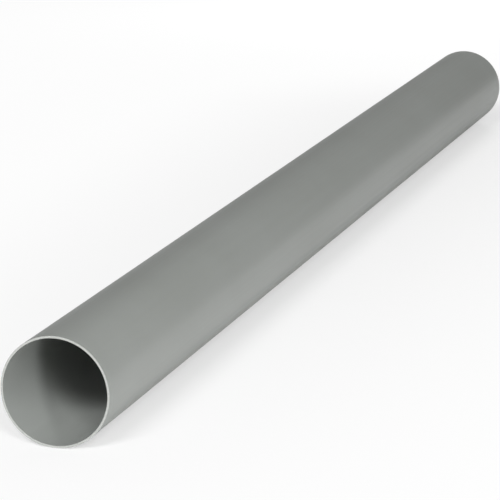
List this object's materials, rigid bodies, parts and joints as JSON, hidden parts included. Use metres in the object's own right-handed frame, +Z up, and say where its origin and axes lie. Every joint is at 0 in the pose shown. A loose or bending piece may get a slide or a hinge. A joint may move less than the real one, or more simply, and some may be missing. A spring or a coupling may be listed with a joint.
{
  "type": "pvc pipe",
  "caption": "Straight plain-ended length of thin-walled grey rigid PVC drain pipe, sawn square at both ends, that carries water or air, or sleeves cables.",
  "frame": {"origin": "midway along the pipe, on the floor line that it lies on, straight below its axis", "axes": "+X along the pipe, +Z up; the end that is nearer in the picture is at -X"},
  "size_m": [2, 0.125, 0.1246],
  "materials": {
    "grey_pvc": "satin"
  },
  "bodies": {
    "root": {"pipe": "grey_pvc"}
  },
  "joints": []
}
